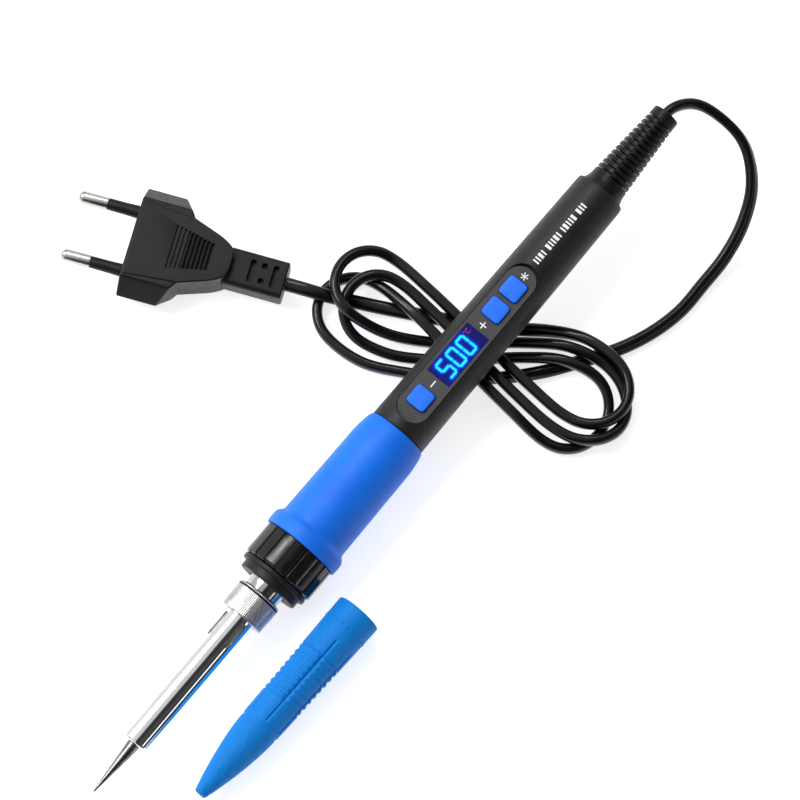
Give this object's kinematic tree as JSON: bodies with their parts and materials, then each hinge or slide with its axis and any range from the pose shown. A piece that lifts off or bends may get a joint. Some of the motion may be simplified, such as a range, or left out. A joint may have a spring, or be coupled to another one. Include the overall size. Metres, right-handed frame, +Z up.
{
  "type": "soldering iron",
  "caption": "Pencil-shaped mains soldering iron with a digital temperature panel, soft grip, conical tip, wound lead, flat two-pin plug and a slip-on tip cap.",
  "frame": {"origin": "on the surface that the iron lies on, under the middle of the box round the iron and its cap (without the lead and plug)", "axes": "+X along the iron towards the rear, +Z up, +Y towards the side where the plug lies"},
  "size_m": [0.2735, 0.169, 0.03],
  "materials": {
    "tip_steel": "dark heat-tinted plated steel, fine turned marks",
    "chrome": "bright polished",
    "ceramic": "plain fired ceramic",
    "gloss_black": "glossy moulded black",
    "matt_black": "fine spark texture, satin",
    "grip_blue": "soft satin silicone",
    "cap_blue": "fine grained matte silicone",
    "panel_grey": "fine matte",
    "display_navy": "clear gloss over a lit blue display",
    "button_blue": "smooth satin",
    "board_green": "solder resist",
    "lead_black": "semi-gloss cable jacket",
    "nickel": "bright nickel",
    "wire_red": "satin insulation",
    "wire_white": "woven glass sleeving",
    "wire_blue": "satin insulation"
  },
  "bodies": {
    "handle": {"heater_element": "ceramic", "heater_flange": "ceramic", "threaded_neck": "chrome", "neck_washer": "gloss_black", "grip_sleeve": "grip_blue", "housing_upper": "matt_black", "housing_lower": "matt_black", "housing_screw_front": "nickel", "housing_screw_rear": "nickel", "control_panel": "panel_grey", "display_window": "display_navy", "display_module": "matt_black", "main_board": "board_green", "triac": "matt_black", "capacitor": "matt_black", "control_chip": "matt_black", "fuse": "ceramic", "heater_wire_1": "wire_red", "heater_wire_2": "wire_red", "heater_wire_3": "wire_white", "heater_wire_4": "wire_white", "live_core": "wire_red", "neutral_core": "wire_blue", "strain_relief": "matt_black", "tact_switch_minus": "matt_black", "tact_switch_plus": "matt_black", "tact_switch_set": "matt_black", "mains_lead": "lead_black", "plug_body": "matt_black", "plug_boot": "matt_black", "plug_pin_1": "nickel", "plug_pin_2": "nickel", "pin_sleeve_1": "matt_black", "pin_sleeve_2": "matt_black"},
    "barrel": {"barrel_tube": "chrome"},
    "nut": {"barrel_nut": "chrome"},
    "tip": {"soldering_tip": "tip_steel"},
    "collar": {"fluted_collar": "gloss_black"},
    "minus_key": {"button_minus": "button_blue"},
    "plus_key": {"button_plus": "button_blue"},
    "set_key": {"button_set": "button_blue"},
    "cap": {"protective_cap": "cap_blue"}
  },
  "joints": [
    {"name": "barrel_pull", "type": "slide", "parent": "handle", "child": "barrel", "axis": [-0.9976, 0, -0.0698], "range_m": [0, 0.1]},
    {"name": "nut_spin", "type": "hinge", "parent": "barrel", "child": "nut", "pos_m": [-0.06027, 0.0101, 0.01089], "axis": [0.9976, 0, 0.0698], "continuous": true},
    {"name": "tip_pull", "type": "slide", "parent": "handle", "child": "tip", "axis": [-0.9976, 0, -0.0698], "range_m": [0, 0.028]},
    {"name": "collar_turn", "type": "hinge", "parent": "handle", "child": "collar", "pos_m": [-0.04341, 0.0101, 0.01206], "axis": [0.9976, 0, 0.0698], "continuous": true},
    {"name": "minus_press", "type": "slide", "parent": "handle", "child": "minus_key", "axis": [0.0591, 0, -0.9983], "range_m": [0, 0.0005], "stiffness_N_per_m": 600, "springref_m": -0.0005},
    {"name": "plus_press", "type": "slide", "parent": "handle", "child": "plus_key", "axis": [0.0591, 0, -0.9983], "range_m": [0, 0.0005], "stiffness_N_per_m": 600, "springref_m": -0.0005},
    {"name": "set_press", "type": "slide", "parent": "handle", "child": "set_key", "axis": [0.0591, 0, -0.9983], "range_m": [0, 0.0005], "stiffness_N_per_m": 600, "springref_m": -0.0005},
    {"name": "cap_slide", "type": "slide", "parent": "handle", "child": "cap", "axis": [-0.9999, 0.0131, 0], "range_m": [0, 0.075]}
  ],
  "couplings": [
    {"joint": "tip_pull", "follows": "barrel_pull", "ratio": 0.28}
  ]
}
